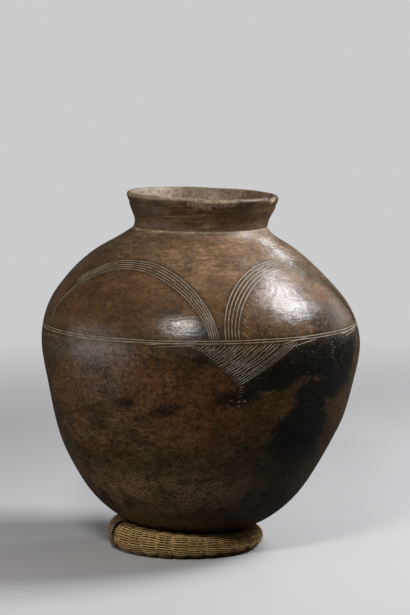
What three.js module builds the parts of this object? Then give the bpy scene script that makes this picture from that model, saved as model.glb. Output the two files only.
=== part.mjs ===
// Hand-built earthenware jar that rests in a ring woven from split cane.
// Millimetres, +Z up. The origin lies on the floor under the middle of the jar's belly,
// +X points to the right and -Y towards the side that shows the seam of the ring.
import * as THREE from 'three';

// Jar: driving sizes
const BASE_HEIGHT = 19;
const BELLY_RADIUS = 229;
const BELLY_HEIGHT = 300;
const THROAT_RADIUS = 96;
const THROAT_HEIGHT = 464;
const RIM_RADIUS = 109;
const RIM_HEIGHT = 507;
const WALL = 9;
const JAR_SIDES = 48;

// Jar: the drawn curves, as shares of the radius and of the height between two of the sizes above.
// The lower curve runs from the base to the belly, the upper one from the belly to the throat
const LOWER_CURVE = [
  [0, 0], [0.25, 0.025], [0.46, 0.09], [0.64, 0.21], [0.78, 0.38], [0.895, 0.58], [0.96, 0.79],
];
const UPPER_CURVE = [[1, 0], [0.912, 0.305], [0.686, 0.56], [0.404, 0.775], [0.119, 0.92], [0, 1]];
const NECK_CURVE = [[0, 0], [0.1, 0.28], [0.56, 0.6], [0.86, 0.86], [1, 1]];
const BODY_STEPS = 26;
const NECK_STEPS = 4;
const LIP_STEPS = 5;

// Jar: how far the hand-built wall leans sideways, and how much lower the rim is on the right.
// The lean is drawn at places given as shares of the rim's height, as shares of the most that it leans
const LEAN_MOST = 7.5;
const LEAN_PLACES = [0, 0.18, 0.3, 0.4, 0.54, 0.64, 0.75, 0.82, 0.89, 0.93, 1];
const LEAN_SHARES = [-0.8, -0.87, -0.67, -0.08, 0.19, -0.05, -0.76, -1, -0.6, 0.29, 0.47];
const RIM_DROP = 7;

// Ring: driving sizes
const RING_RADIUS = 95;
const TUBE_HALF_WIDTH = 18.2;
const RING_SHIFT = -15;
const SEAT_CLEARANCE = 0.5;
const SEAM_AZIMUTH = THREE.MathUtils.degToRad(200);
const HOOPS = 27;
const HOOP_WIDTH = 2.2;
const HOOP_THICKNESS = 2.4;
const HOOP_HALF_SIDES = 6;
const WEAVERS = 26;
const WEAVER_THICKNESS = 2.4;
const WEAVER_SPACING = 0.5;
const WEAVE_CLEARANCE = 0.7;
const FOOT_LENGTH = 8;
const CORE_CLEARANCE = 0.6;
const CORE_SIDES = 8;
const CORE_STEPS = 48;

// Ring: the seam where the two ends of the woven tube meet
const SEAM_GAP = 1.6;
const BORDER_WIDTH = 3.6;
const BORDER_THICKNESS = 4.4;
const BORDER_HALF_SIDES = 8;
const TIE_THICKNESS = 1.6;
const TIE_WIDTH = 1.8;
const TIE_CLEARANCE = 0.4;
const TIE_TURNS = [15, -20, -45].map(THREE.MathUtils.degToRad);

// Materials
const firedClay = new THREE.MeshStandardMaterial({ color: 0x4a3626, roughness: 0.55, metalness: 0 });
const splitCane = new THREE.MeshStandardMaterial({ color: 0x8a7048, roughness: 0.7, metalness: 0 });
const twistedCane = new THREE.MeshStandardMaterial({ color: 0x9b8258, roughness: 0.75, metalness: 0 });
const dryGrass = new THREE.MeshStandardMaterial({ color: 0x5a4526, roughness: 0.9, metalness: 0 });

// Height of a smooth curve through matching lists of places and values, at one place
function smoothCurve(places, values, at) {
  const last = places.length - 1;
  const inside = THREE.MathUtils.clamp(at, places[0], places[last]);
  const next = Math.max(1, places.findIndex((place) => place >= inside));
  const slope = (index) => {
    const before = Math.max(index - 1, 0);
    const after = Math.min(index + 1, last);
    return (values[after] - values[before]) / (places[after] - places[before]);
  };
  const length = places[next] - places[next - 1];
  const share = (inside - places[next - 1]) / length;
  const ease = share * share * (3 - 2 * share);
  const leave = share * (1 - share) ** 2 * slope(next - 1) * length;
  const arrive = share ** 2 * (share - 1) * slope(next) * length;
  return THREE.MathUtils.lerp(values[next - 1], values[next], ease) + leave + arrive;
}

// Points given as shares of the span from one pair of radius and height to another
function drawnPoints(shares, from, to) {
  return shares.map(([radius, height]) => new THREE.Vector2(
    THREE.MathUtils.lerp(from.x, to.x, radius),
    THREE.MathUtils.lerp(from.y, to.y, height),
  ));
}

// Outer outline of the jar from the middle of its underside to its rim, with a crease at the throat
function outerOutline() {
  const base = new THREE.Vector2(0, BASE_HEIGHT);
  const belly = new THREE.Vector2(BELLY_RADIUS, BELLY_HEIGHT);
  const throat = new THREE.Vector2(THROAT_RADIUS, THROAT_HEIGHT);
  const rim = new THREE.Vector2(RIM_RADIUS, RIM_HEIGHT);
  const lower = drawnPoints(LOWER_CURVE, base, belly);
  const upperFrom = new THREE.Vector2(throat.x, belly.y);
  const upperTo = new THREE.Vector2(belly.x, throat.y);
  const upper = drawnPoints(UPPER_CURVE, upperFrom, upperTo);
  const body = new THREE.SplineCurve([...lower, ...upper]).getPoints(BODY_STEPS);
  const neck = new THREE.SplineCurve(drawnPoints(NECK_CURVE, throat, rim)).getPoints(NECK_STEPS);
  return [...body, ...neck.slice(1)];
}

// Unit normal of an outline at one of its points, pointing out of the wall
function outwardNormal(outline, index) {
  const before = outline[Math.max(index - 1, 0)];
  const after = outline[Math.min(index + 1, outline.length - 1)];
  const direction = after.clone().sub(before).normalize();
  return new THREE.Vector2(direction.y, -direction.x);
}

const OUTLINE = outerOutline();

// Sideways lean of the wall at a height
function lean(height) {
  return LEAN_MOST * smoothCurve(LEAN_PLACES, LEAN_SHARES, height / RIM_HEIGHT);
}

// Moves a point of the turned jar to where the potter's hand left it
function handBuilt(point) {
  const neckShare = THREE.MathUtils.smoothstep(point.z, THROAT_HEIGHT, RIM_HEIGHT);
  const drop = RIM_DROP * neckShare * (point.x / RIM_RADIUS) / 2;
  point.x += lean(point.z);
  point.z -= drop;
}

// The jar: one fired wall with a rounded lip, open at the mouth
function jar() {
  const inner = OUTLINE.map((point, index) => {
    const inwards = outwardNormal(OUTLINE, index).multiplyScalar(-WALL);
    return point.clone().add(inwards);
  });
  inner[0].set(0, BASE_HEIGHT + WALL);
  const rim = OUTLINE.at(-1);
  const out = outwardNormal(OUTLINE, OUTLINE.length - 1);
  const up = new THREE.Vector2(-out.y, out.x);
  const lipCentre = rim.clone().addScaledVector(out, -WALL / 2);
  const lip = [];
  for (let step = 1; step < LIP_STEPS; step += 1) {
    const turn = (Math.PI * step) / LIP_STEPS;
    const point = lipCentre.clone();
    point.addScaledVector(out, (WALL / 2) * Math.cos(turn));
    point.addScaledVector(up, (WALL / 2) * Math.sin(turn));
    lip.push(point);
  }
  const coarse = inner.filter((point, index) => index % 2 === 0 || index === inner.length - 1);
  const profile = [...OUTLINE, ...lip, ...coarse.reverse()];
  const geometry = new THREE.LatheGeometry(profile, JAR_SIDES);
  geometry.rotateX(Math.PI / 2);
  reshape(geometry, handBuilt);
  return new THREE.Mesh(geometry, firedClay);
}

// Applies a change of place to every point of a geometry
function reshape(geometry, change) {
  const positions = geometry.getAttribute('position');
  const point = new THREE.Vector3();
  for (let index = 0; index < positions.count; index += 1) {
    point.fromBufferAttribute(positions, index);
    change(point);
    positions.setXYZ(index, point.x, point.y, point.z);
  }
  geometry.computeVertexNormals();
}

// Height of the jar's underside at a distance from its axis
function undersideHeight(radius) {
  const next = Math.max(1, OUTLINE.findIndex((point) => point.x >= radius));
  const from = OUTLINE[next - 1];
  const to = OUTLINE[next];
  return THREE.MathUtils.mapLinear(radius, from.x, to.x, from.y, to.y);
}

const RING_MIDDLE = lean(2 * TUBE_HALF_WIDTH) + RING_SHIFT;

// Half the height of the ring at an azimuth: the jar's weight presses the tube down to fit under it
function tubeHalfHeight(azimuth) {
  const samples = 24;
  let half = Infinity;
  for (let sample = 1; sample < samples; sample += 1) {
    const across = THREE.MathUtils.lerp(-TUBE_HALF_WIDTH, TUBE_HALF_WIDTH, sample / samples);
    const distance = RING_RADIUS + across;
    const x = RING_SHIFT + distance * Math.cos(azimuth);
    const y = distance * Math.sin(azimuth);
    const room = undersideHeight(Math.hypot(x, y)) - SEAT_CLEARANCE;
    const share = 1 + Math.sqrt(1 - (across / TUBE_HALF_WIDTH) ** 2);
    half = Math.min(half, room / share);
  }
  return half;
}

// Cross-section of the tube at an azimuth, at a depth below its outer surface
function section(azimuth, depth) {
  const middle = tubeHalfHeight(azimuth);
  return { middle, across: TUBE_HALF_WIDTH - depth, up: middle - depth };
}

// Place and outward direction on the tube. The turn runs round the section from its outer side,
// in equal steps of length
function onTube(azimuth, turn, depth) {
  const { middle, across, up } = section(azimuth, depth);
  const flattening = (across ** 2 - up ** 2) / (4 * (across ** 2 + up ** 2));
  const angle = turn + flattening * Math.sin(2 * turn);
  const distance = RING_RADIUS + across * Math.cos(angle);
  const height = middle + up * Math.sin(angle);
  const place = new THREE.Vector3(distance * Math.cos(azimuth), distance * Math.sin(azimuth), height);
  const slope = new THREE.Vector2(Math.cos(angle) / across, Math.sin(angle) / up).normalize();
  const outward = new THREE.Vector3(slope.x * Math.cos(azimuth), slope.x * Math.sin(azimuth), slope.y);
  return { place, outward };
}

// Depths of the layers of the weave, from the outside in
const OVER_DEPTH = WEAVER_THICKNESS / 2;
const LAYER_STEP = (WEAVER_THICKNESS + HOOP_THICKNESS) / 2 + WEAVE_CLEARANCE;
const HOOP_DEPTH = OVER_DEPTH + LAYER_STEP;
const UNDER_DEPTH = HOOP_DEPTH + LAYER_STEP;
const CORE_DEPTH = UNDER_DEPTH + WEAVER_THICKNESS / 2 + CORE_CLEARANCE;
const BORDER_TOP = TIE_THICKNESS + TIE_CLEARANCE;
const BORDER_BOTTOM = BORDER_TOP + BORDER_THICKNESS;

// The seam, and the azimuths of the hoops between its two sides
const TIE_HOLE_HALF = SEAM_GAP / 2 + BORDER_WIDTH + TIE_CLEARANCE;
const SEAM_HALF = TIE_HOLE_HALF + TIE_THICKNESS + TIE_CLEARANCE;
const SEAM_ANGLE = SEAM_HALF / RING_RADIUS;
const HOOP_PITCH = (2 * Math.PI - 2 * SEAM_ANGLE) / (HOOPS + 1);

function hoopAzimuth(hoop) {
  return SEAM_AZIMUTH + SEAM_ANGLE + HOOP_PITCH * hoop;
}

// Length round the section of the tube at an azimuth and a depth
function sectionLength(azimuth, depth) {
  const { across, up } = section(azimuth, depth);
  const root = Math.sqrt((3 * across + up) * (across + 3 * up));
  return Math.PI * (3 * (across + up) - root);
}

// The weavers cross between the hoops, and lie side by side there where the tube is pressed flattest
const LENGTHS = Array.from({ length: HOOPS }, (_, hoop) => sectionLength(hoopAzimuth(hoop + 1), HOOP_DEPTH));
const WEAVER_WIDTH = Math.min(...LENGTHS) / WEAVERS - WEAVER_SPACING;

// Path of a strand that passes over one hoop and under the next, with its flat side towards the tube
class StrandPath extends THREE.Curve {
  constructor(stations) {
    super();
    this.stations = stations;
  }

  getPoint(share, target = new THREE.Vector3()) {
    const station = Math.round(share * (this.stations.length - 1));
    return target.copy(this.stations[station].place);
  }

  getSpacedPoints(steps) {
    return this.getPoints(steps);
  }

  computeFrenetFrames() {
    const tangents = this.stations.map((station, index) => {
      const before = this.stations[Math.max(index - 1, 0)].place;
      const after = this.stations[Math.min(index + 1, this.stations.length - 1)].place;
      const along = after.clone().sub(before);
      along.addScaledVector(station.outward, -along.dot(station.outward));
      return along.normalize();
    });
    const normals = this.stations.map((station) => station.outward.clone());
    const binormals = normals.map((normal, index) => tangents[index].clone().cross(normal));
    return { tangents, normals, binormals };
  }
}

// Points that one weaver passes, from one side of the seam round to the other
function weaverStations(weaver) {
  const turn = -Math.PI / 2 + (2 * Math.PI * weaver) / WEAVERS;
  const distance = RING_RADIUS + (TUBE_HALF_WIDTH - HOOP_DEPTH) * Math.cos(turn);
  const clear = Math.asin(SEAM_HALF / distance);
  const stations = [onTube(SEAM_AZIMUTH + clear, turn, HOOP_DEPTH)];
  for (let hoop = 1; hoop <= HOOPS; hoop += 1) {
    const azimuth = hoopAzimuth(hoop);
    const over = (hoop + weaver) % 2 === 0;
    const half = FOOT_LENGTH / 2 / RING_RADIUS;
    const shifts = over && weaver === 0 ? [-half, half] : [0];
    const depth = over ? OVER_DEPTH : UNDER_DEPTH;
    shifts.forEach((shift) => stations.push(onTube(azimuth + shift, turn, depth)));
  }
  stations.push(onTube(SEAM_AZIMUTH + 2 * Math.PI - clear, turn, HOOP_DEPTH));
  return stations;
}

// A weaver: one strand that runs once round the ring. The one underneath is pressed flat where it stands
function weaverStrand(weaver) {
  const stations = weaverStations(weaver);
  const strip = new THREE.Shape();
  strip.moveTo(-WEAVER_THICKNESS / 2, -WEAVER_WIDTH / 2);
  strip.lineTo(WEAVER_THICKNESS / 2, -WEAVER_WIDTH / 2);
  strip.lineTo(WEAVER_THICKNESS / 2, WEAVER_WIDTH / 2);
  strip.lineTo(-WEAVER_THICKNESS / 2, WEAVER_WIDTH / 2);
  strip.closePath();
  const geometry = new THREE.ExtrudeGeometry(strip, {
    steps: stations.length - 1,
    extrudePath: new StrandPath(stations),
  });
  return new THREE.Mesh(geometry, splitCane);
}

// A flat loop that follows the tube's section between two depths, its middle plane at the local origin
function sectionLoop(azimuth, top, bottom, width, halfSides) {
  const outer = section(azimuth, top);
  const inner = section(azimuth, bottom);
  const roundUp = 1 / Math.cos(Math.PI / (2 * halfSides));
  const shape = new THREE.Shape().absellipse(0, 0, outer.across, outer.up, 0, 2 * Math.PI);
  const hole = new THREE.Path();
  hole.absellipse(0, 0, inner.across * roundUp, inner.up * roundUp, 0, 2 * Math.PI);
  shape.holes.push(hole);
  const sweep = { depth: width, bevelEnabled: false, curveSegments: halfSides };
  const geometry = new THREE.ExtrudeGeometry(shape, sweep);
  geometry.translate(0, 0, -width / 2);
  return geometry;
}

// A group whose local X points away from the middle of the ring, Y up and Z along the tube
function tubeStation(azimuth, ...meshes) {
  const upright = new THREE.Group();
  upright.rotation.x = Math.PI / 2;
  upright.position.set(RING_RADIUS, 0, tubeHalfHeight(azimuth));
  upright.add(...meshes);
  const station = new THREE.Group();
  station.rotation.z = azimuth;
  station.add(upright);
  return station;
}

// A hoop: one strand bent into a loop across the tube, which the weavers cross
function hoopLoop(azimuth) {
  const top = HOOP_DEPTH - HOOP_THICKNESS / 2;
  const geometry = sectionLoop(azimuth, top, top + HOOP_THICKNESS, HOOP_WIDTH, HOOP_HALF_SIDES);
  return new THREE.Mesh(geometry, splitCane);
}

// A border: the thick turned edge at one end of the woven tube
function borderLoop(side) {
  const geometry = sectionLoop(SEAM_AZIMUTH, BORDER_TOP, BORDER_BOTTOM, BORDER_WIDTH, BORDER_HALF_SIDES);
  const mesh = new THREE.Mesh(geometry, twistedCane);
  mesh.position.z = (side * (SEAM_GAP + BORDER_WIDTH)) / 2;
  return mesh;
}

// A tie: one turn of cane lashed round both borders, at a place round the section
function seamTie(turn) {
  const tall = BORDER_BOTTOM + TIE_CLEARANCE + TIE_THICKNESS;
  const holeTall = BORDER_THICKNESS + 2 * TIE_CLEARANCE;
  const halfLong = TIE_HOLE_HALF + TIE_THICKNESS;
  const frame = new THREE.Shape();
  frame.moveTo(-tall / 2, -halfLong);
  frame.lineTo(tall / 2, -halfLong);
  frame.lineTo(tall / 2, halfLong);
  frame.lineTo(-tall / 2, halfLong);
  frame.closePath();
  const hole = new THREE.Path();
  hole.moveTo(-holeTall / 2, -TIE_HOLE_HALF);
  hole.lineTo(-holeTall / 2, TIE_HOLE_HALF);
  hole.lineTo(holeTall / 2, TIE_HOLE_HALF);
  hole.lineTo(holeTall / 2, -TIE_HOLE_HALF);
  hole.closePath();
  frame.holes.push(hole);
  const geometry = new THREE.ExtrudeGeometry(frame, { depth: TIE_WIDTH, bevelEnabled: false });
  geometry.translate(-tall / 2, 0, -TIE_WIDTH / 2);
  geometry.rotateX(Math.PI / 2);
  const here = section(SEAM_AZIMUTH, 0);
  const mesh = new THREE.Mesh(geometry, twistedCane);
  mesh.position.set(here.across * Math.cos(turn), here.up * Math.sin(turn), 0);
  mesh.rotation.z = Math.atan2(Math.sin(turn) / here.up, Math.cos(turn) / here.across);
  return mesh;
}

// The filling: a bundle of dry grass that keeps the woven tube round
function grassCore() {
  const geometry = new THREE.TorusGeometry(RING_RADIUS, TUBE_HALF_WIDTH, CORE_SIDES, CORE_STEPS);
  reshape(geometry, (point) => {
    const azimuth = Math.atan2(point.y, point.x);
    const turn = Math.atan2(point.z, Math.hypot(point.x, point.y) - RING_RADIUS);
    point.copy(onTube(azimuth, turn, CORE_DEPTH).place);
  });
  return new THREE.Mesh(geometry, dryGrass);
}

function named(name, mesh) {
  mesh.name = name;
  return mesh;
}

// Two-digit number of a repeated piece
function numbered(name, index) {
  return `${name}_${String(index).padStart(2, '0')}`;
}

// The woven ring, about its own middle
function wovenRing() {
  const ring = new THREE.Group();
  ring.add(named('grass_core', grassCore()));
  for (let hoop = 1; hoop <= HOOPS; hoop += 1) {
    const azimuth = hoopAzimuth(hoop);
    ring.add(tubeStation(azimuth, named(numbered('hoop', hoop), hoopLoop(azimuth))));
  }
  for (let weaver = 0; weaver < WEAVERS; weaver += 1) {
    ring.add(named(numbered('weaver', weaver + 1), weaverStrand(weaver)));
  }
  const borders = [named('end_border_a', borderLoop(1)), named('end_border_b', borderLoop(-1))];
  const ties = TIE_TURNS.map((turn, index) => named(numbered('seam_tie', index + 1), seamTie(turn)));
  ring.add(tubeStation(SEAM_AZIMUTH, ...borders, ...ties));
  ring.position.x = RING_MIDDLE;
  return ring;
}

const potOnRing = new THREE.Group();
potOnRing.add(named('clay_pot', jar()));
potOnRing.add(wovenRing());

export default potOnRing;
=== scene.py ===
"""Dresses a hand-built clay jar and the woven cane ring that it rests in."""
import logging
import math
from dataclasses import dataclass, field
from enum import Enum
from typing import Callable, Optional, Sequence

import bpy
import numpy as np
from bpy.types import Material, Node, NodeSocket, NodeTree, Object
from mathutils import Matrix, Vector, noise
from mathutils.bvhtree import BVHTree
from mathutils.kdtree import KDTree


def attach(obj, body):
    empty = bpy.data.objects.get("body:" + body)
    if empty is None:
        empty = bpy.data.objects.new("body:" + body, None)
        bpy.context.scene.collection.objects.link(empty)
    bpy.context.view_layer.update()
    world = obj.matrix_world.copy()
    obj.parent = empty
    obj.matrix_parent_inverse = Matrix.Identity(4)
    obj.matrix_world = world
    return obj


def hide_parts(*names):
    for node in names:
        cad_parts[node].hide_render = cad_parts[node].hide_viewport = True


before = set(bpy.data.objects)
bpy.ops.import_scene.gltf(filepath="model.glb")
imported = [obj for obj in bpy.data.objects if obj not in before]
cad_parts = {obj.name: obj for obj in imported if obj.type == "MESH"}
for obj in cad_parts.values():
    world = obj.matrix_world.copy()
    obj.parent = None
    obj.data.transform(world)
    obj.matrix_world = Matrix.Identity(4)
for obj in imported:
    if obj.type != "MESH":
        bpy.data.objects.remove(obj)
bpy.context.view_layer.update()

LOG = logging.getLogger("clay_jar")
Colour = tuple[float, float, float]
Points = np.ndarray


class Body(str, Enum):
    """The two bodies of the part that pieces ride on."""

    RING = "ring"
    POT = "pot"


class Slot(str, Enum):
    """The material slots of the part's record."""

    CLAY = "fired_clay"
    CANE = "split_cane"
    TWISTED = "twisted_cane"
    GRASS = "dry_grass"


class Cut(str, Enum):
    """The kinds of mark that the potter pressed or drew into the soft clay."""

    COMB = "comb_lines"
    BELT = "belt_lines"
    HATCH = "hatching"
    HATCH_MIDDLE = "hatching_middle"
    TAILS = "hatching_tails"
    DOTS = "dots"


def pick(*pieces: Object) -> None:
    """Deselects everything, then selects these pieces and makes the last one active."""
    bpy.ops.object.select_all(action="DESELECT")
    for piece in pieces:
        piece.select_set(True)
    bpy.context.view_layer.objects.active = pieces[-1]


def drawn_line(name: str, points: Sequence[Vector]) -> Object:
    """Draws an open line by extruding one point from place to place.

    Args:
        name: The name of the new piece.
        points: The places that the line passes, in metres.

    Returns:
        The line as a mesh object at the origin.
    """
    bpy.ops.object.select_all(action="DESELECT")
    bpy.ops.mesh.primitive_plane_add(size=0.001, location=points[0])
    piece = bpy.context.object
    piece.name = piece.data.name = name
    bpy.ops.object.mode_set(mode="EDIT")
    bpy.ops.mesh.merge(type="CENTER")
    for start, end in zip(points, points[1:]):
        bpy.ops.mesh.extrude_region_move(TRANSFORM_OT_translate={"value": end - start})
    bpy.ops.object.mode_set(mode="OBJECT")
    bpy.ops.object.transform_apply(location=True, rotation=True, scale=True)
    return piece


def places_of(piece: Object) -> Points:
    """Returns the places of a piece's vertices as rows of x, y and z."""
    places = np.empty(len(piece.data.vertices) * 3)
    piece.data.vertices.foreach_get("co", places)
    return places.reshape(-1, 3)


def move_vertices(piece: Object, change: Callable[[Points], Points]) -> None:
    """Moves every vertex of a piece.

    Args:
        piece: The piece to change.
        change: Gives the new places for rows of old ones.
    """
    piece.data.vertices.foreach_set("co", change(places_of(piece)).ravel())
    piece.data.update()


def close_up(piece: Object, merge: float = 0.0) -> None:
    """Merges a mesh's doubled points and turns its faces outwards.

    Args:
        piece: The piece to change.
        merge: Points nearer to each other than this, in metres, become one. With 0 none do.
    """
    pick(piece)
    bpy.ops.object.mode_set(mode="EDIT")
    bpy.ops.mesh.select_all(action="SELECT")
    if merge:
        bpy.ops.mesh.remove_doubles(threshold=merge)
    bpy.ops.mesh.normals_make_consistent(inside=False)
    bpy.ops.object.mode_set(mode="OBJECT")


def note(piece: Object, **values: Sequence[float]) -> None:
    """Notes a number for each vertex of a piece, under the name that its material reads."""
    for name, rows in values.items():
        piece.data.attributes.new(name, "FLOAT", "POINT").data.foreach_set("value", rows)


def waver(place: Sequence[float], size: float, seed: float = 0.0) -> float:
    """Returns smooth unevenness between about -1 and 1.

    Args:
        place: Where on the object, in metres.
        size: How far apart the bumps lie, in metres.
        seed: A number that picks another unevenness.

    Returns:
        The unevenness at that place.
    """
    return noise.noise(Vector(place) / size + Vector((seed, 2.3 * seed, -seed)))


def smooth_line(knots: Sequence[Sequence[float]], count: int) -> Points:
    """Draws a smooth line through knots.

    Args:
        knots: The points that the line passes.
        count: How many points to return.

    Returns:
        Points on the line, one row each.
    """
    rows = np.array(knots, float)
    padded = np.vstack([rows[:1], rows, rows[-1:]])
    spans = np.linspace(0, len(rows) - 1, count)
    first = np.minimum(spans.astype(int), len(rows) - 2)
    share = (spans - first)[:, None]
    before, start, end, after = (padded[first + step] for step in range(4))
    leave, arrive = (end - before) / 2, (after - start) / 2
    cubic = (2 * start - 2 * end + leave + arrive) * share**3
    square = (3 * end - 3 * start - 2 * leave - arrive) * share**2
    return cubic + square + leave * share + start


def evenly(line: Points, spacing: float) -> Points:
    """Spaces the points of a line evenly along its length.

    Args:
        line: Points on the line, one row each.
        spacing: The wanted distance between neighbours, in metres.

    Returns:
        The line with about evenly spaced points and the same two ends.
    """
    steps = np.linalg.norm(np.diff(line, axis=0), axis=1)
    run = np.concatenate([[0], np.cumsum(steps)])
    count = max(2, round(run[-1] / spacing) + 1)
    wanted = np.linspace(0, run[-1], count)
    return np.stack([np.interp(wanted, run, line[:, axis]) for axis in range(line.shape[1])], -1)


def tube(name: str, paths: Sequence[Points], radii: Sequence[Points], sides: int) -> Object:
    """Sweeps a round section along paths.

    Args:
        name: The name of the new piece.
        paths: Rows of places, one list for each strand.
        radii: The radius at each of those places.
        sides: How many faces go round each strand, an even number of at least 4.

    Returns:
        One mesh of closed strands.
    """
    curve = bpy.data.curves.new(name, "CURVE")
    curve.dimensions = "3D"
    curve.bevel_depth = 1.0
    curve.bevel_resolution = (sides - 4) // 2
    curve.use_fill_caps = True
    for path, radius in zip(paths, radii):
        spline = curve.splines.new("POLY")
        spline.points.add(len(path) - 1)
        rows = np.hstack([path, np.ones((len(path), 1))])
        spline.points.foreach_set("co", rows.ravel())
        spline.points.foreach_set("radius", np.asarray(radius, float))
    piece = bpy.data.objects.new(name, curve)
    bpy.context.scene.collection.objects.link(piece)
    pick(piece)
    bpy.ops.object.convert(target="MESH")
    piece = bpy.context.object
    close_up(piece, 1e-6)
    return piece


def carve(piece: Object, cutter: Object) -> None:
    """Cuts one shape out of a piece and removes the shape.

    Args:
        piece: The piece that is cut.
        cutter: The closed shape to take away.
    """
    pick(piece)
    cut = piece.modifiers.new("carve", "BOOLEAN")
    cut.operation = "DIFFERENCE"
    cut.solver = "MANIFOLD"
    cut.object = cutter
    bpy.ops.object.modifier_apply(modifier=cut.name)
    bpy.data.objects.remove(cutter)


@dataclass
class Sheet:
    """A node sheet, with one method for each kind of node that the finishes use."""

    name: str
    tree: Optional[NodeTree] = None
    material: Material = field(init=False)

    def __post_init__(self) -> None:
        """Empties the sheet, a new material's unless one is given, and adds the object's coordinates."""
        if self.tree is None:
            self.material = bpy.data.materials.new(self.name)
            self.material.use_nodes = True
            self.tree = self.material.node_tree
        self.tree.nodes.clear()
        self.place = self.tree.nodes.new("ShaderNodeTexCoord").outputs["Object"]
        self.edges: dict[float, NodeSocket] = {}

    def put(self, socket: NodeSocket, value: object) -> None:
        """Links or sets one input.

        Args:
            socket: The input.
            value: Another node's output, a number, or a colour or vector.
        """
        if isinstance(value, NodeSocket):
            self.tree.links.new(value, socket)
        elif isinstance(value, (int, float)):
            socket.default_value = value
        else:
            wanted = len(socket.default_value)
            socket.default_value = (tuple(value) + (1.0,))[:wanted]

    def node(self, kind: str, inputs: dict[str | int, object], **settings: object) -> Node:
        """Adds one node.

        Args:
            kind: The node's type name.
            inputs: Values or outputs for its inputs, by name or number.
            **settings: The node's own properties.

        Returns:
            The new node.
        """
        made = self.tree.nodes.new(kind)
        for key, value in settings.items():
            setattr(made, key, value)
        for key, value in inputs.items():
            self.put(made.inputs[key], value)
        return made

    def sum(self, how: str, first: object, second: object = 0.0, third: object = 0.0) -> NodeSocket:
        """Returns the result of one arithmetic step, such as ADD, MULTIPLY or ARCTAN2."""
        made = self.node("ShaderNodeMath", {0: first, 1: second, 2: third}, operation=how)
        return made.outputs[0]

    def times(self, first: NodeSocket, *others: object) -> NodeSocket:
        """Returns the product of some values."""
        for other in others:
            first = self.sum("MULTIPLY", first, other)
        return first

    def noted(self, name: str) -> NodeSocket:
        """Returns the number that was noted for each vertex under a name."""
        return self.node("ShaderNodeAttribute", {}, attribute_name=name).outputs["Fac"]

    def between(self, value: object, low: float, high: float,
                to: tuple[float, float] = (0.0, 1.0)) -> NodeSocket:
        """Returns a soft step of a value: to[0] at low and beyond it, to[1] at high and beyond it."""
        inputs = {"Value": value, "From Min": low, "From Max": high, "To Min": to[0], "To Max": to[1]}
        return self.node("ShaderNodeMapRange", inputs, interpolation_type="SMOOTHSTEP").outputs[0]

    def moved(self, scale: Sequence[float], shift: Sequence[float] = (0, 0, 0)) -> NodeSocket:
        """Returns the object's coordinates after a shift and then a stretch."""
        shifted = self.node("ShaderNodeMapping", {"Vector": self.place, "Location": shift}).outputs[0]
        return self.node("ShaderNodeMapping", {"Vector": shifted, "Scale": scale}).outputs[0]

    def grain(self, size: float, detail: float = 4.0, rough: float = 0.55, where: Optional[NodeSocket] = None,
              wander: float = 0.0) -> NodeSocket:
        """Returns smooth noise around 0.5.

        Args:
            size: How far apart its features lie, in metres.
            detail: How many finer layers it has.
            rough: How strong the finer layers are.
            where: Coordinates other than the object's own.
            wander: How much the noise distorts itself.

        Returns:
            The noise value.
        """
        inputs = {"Vector": where or self.place, "Scale": 1 / size, "Detail": detail, "Roughness": rough,
                  "Distortion": wander}
        return self.node("ShaderNodeTexNoise", inputs).outputs["Fac"]

    def cells(self, size: float, where: Optional[NodeSocket] = None, chance: float = 1.0) -> NodeSocket:
        """Returns the distance to the nearest of many scattered points, in cells."""
        inputs = {"Vector": where or self.place, "Scale": 1 / size, "Randomness": chance}
        return self.node("ShaderNodeTexVoronoi", inputs).outputs["Distance"]

    def mix(self, share: object, first: object, second: object, how: str = "MIX") -> NodeSocket:
        """Returns the first colour changed towards the second by a share."""
        made = self.node("ShaderNodeMix", {}, data_type="RGBA", blend_type=how)
        for key, value in ((0, share), (6, first), (7, second)):
            self.put(made.inputs[key], value)
        return made.outputs[2]

    def shaded(self, colour: NodeSocket, value: NodeSocket) -> NodeSocket:
        """Returns a colour made lighter or darker by a factor."""
        grey = self.node("ShaderNodeCombineColor", {0: value, 1: value, 2: value}).outputs[0]
        return self.mix(1.0, colour, grey, "MULTIPLY")

    def ramp(self, value: NodeSocket, stops: Sequence[tuple[float, Colour]]) -> NodeSocket:
        """Returns a colour that runs through stops as the value goes from 0 to 1."""
        made = self.node("ShaderNodeValToRGB", {"Fac": value})
        strip = made.color_ramp
        while len(strip.elements) < len(stops):
            strip.elements.new(0.5)
        for element, (at, colour) in zip(strip.elements, stops):
            element.position = at
            element.color = (*colour, 1.0)
        return made.outputs["Color"]

    def spot(self, centre: Sequence[float], across: float, up: float, blur: float, ragged: float,
             size: float) -> NodeSocket:
        """Returns a patch that is 1 at its middle and fades out at an uneven edge.

        Args:
            centre: Where the patch lies, in metres.
            across: How far it reaches sideways, in metres.
            up: How far it reaches up and down, in metres.
            blur: The width of its edge, as a share of its reach.
            ragged: How far the noise pushes the edge, as a share of its reach.
            size: How far apart the bumps of the edge lie, in metres.

        Returns:
            The patch's strength.
        """
        scaled = self.moved((1 / across, 1 / across, 1 / up), tuple(-value for value in centre))
        far = self.node("ShaderNodeVectorMath", {0: scaled}, operation="LENGTH").outputs["Value"]
        if size not in self.edges:
            self.edges[size] = self.grain(size, 6, 0.70, None, 0.7)
        push = self.sum("MULTIPLY_ADD", self.edges[size], 4 * ragged, -2 * ragged)
        return self.between(self.sum("ADD", far, push), 1 - blur, 1 + blur, (1.0, 0.0))

    def bumps(self, height: NodeSocket, depth: float, below: Optional[NodeSocket] = None) -> NodeSocket:
        """Returns a normal that stands for relief of some depth in metres, on top of earlier relief."""
        inputs: dict[str | int, object] = {"Height": height, "Strength": 1.0, "Distance": depth}
        if below is not None:
            inputs["Normal"] = below
        return self.node("ShaderNodeBump", inputs).outputs["Normal"]

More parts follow.
